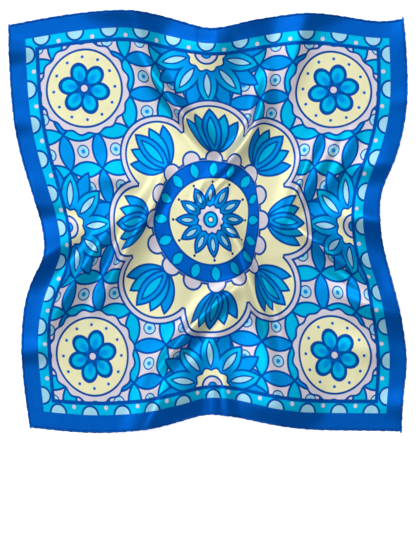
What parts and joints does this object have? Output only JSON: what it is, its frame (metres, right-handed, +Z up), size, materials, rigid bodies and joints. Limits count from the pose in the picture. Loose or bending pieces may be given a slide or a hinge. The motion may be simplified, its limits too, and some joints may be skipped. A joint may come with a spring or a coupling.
{
  "type": "silk square scarf",
  "caption": "Square of printed satin silk with rolled hems, lying loosely on a surface with soft folds turning out from its middle.",
  "frame": {"origin": "centre of the part's bounding box in X and Y, on the surface that the scarf rests on", "axes": "+X to the scarf's right, +Y to its back edge, +Z up from the surface"},
  "size_m": [0.4994, 0.5274, 0.0183],
  "materials": {
    "printed_silk": "satin silk, printed in cream and blues",
    "rolled_hem": "satin silk, royal blue"
  },
  "bodies": {
    "root": {"panel": "printed_silk", "hem_front": "rolled_hem", "hem_right": "rolled_hem", "hem_back": "rolled_hem", "hem_left": "rolled_hem"}
  },
  "joints": []
}
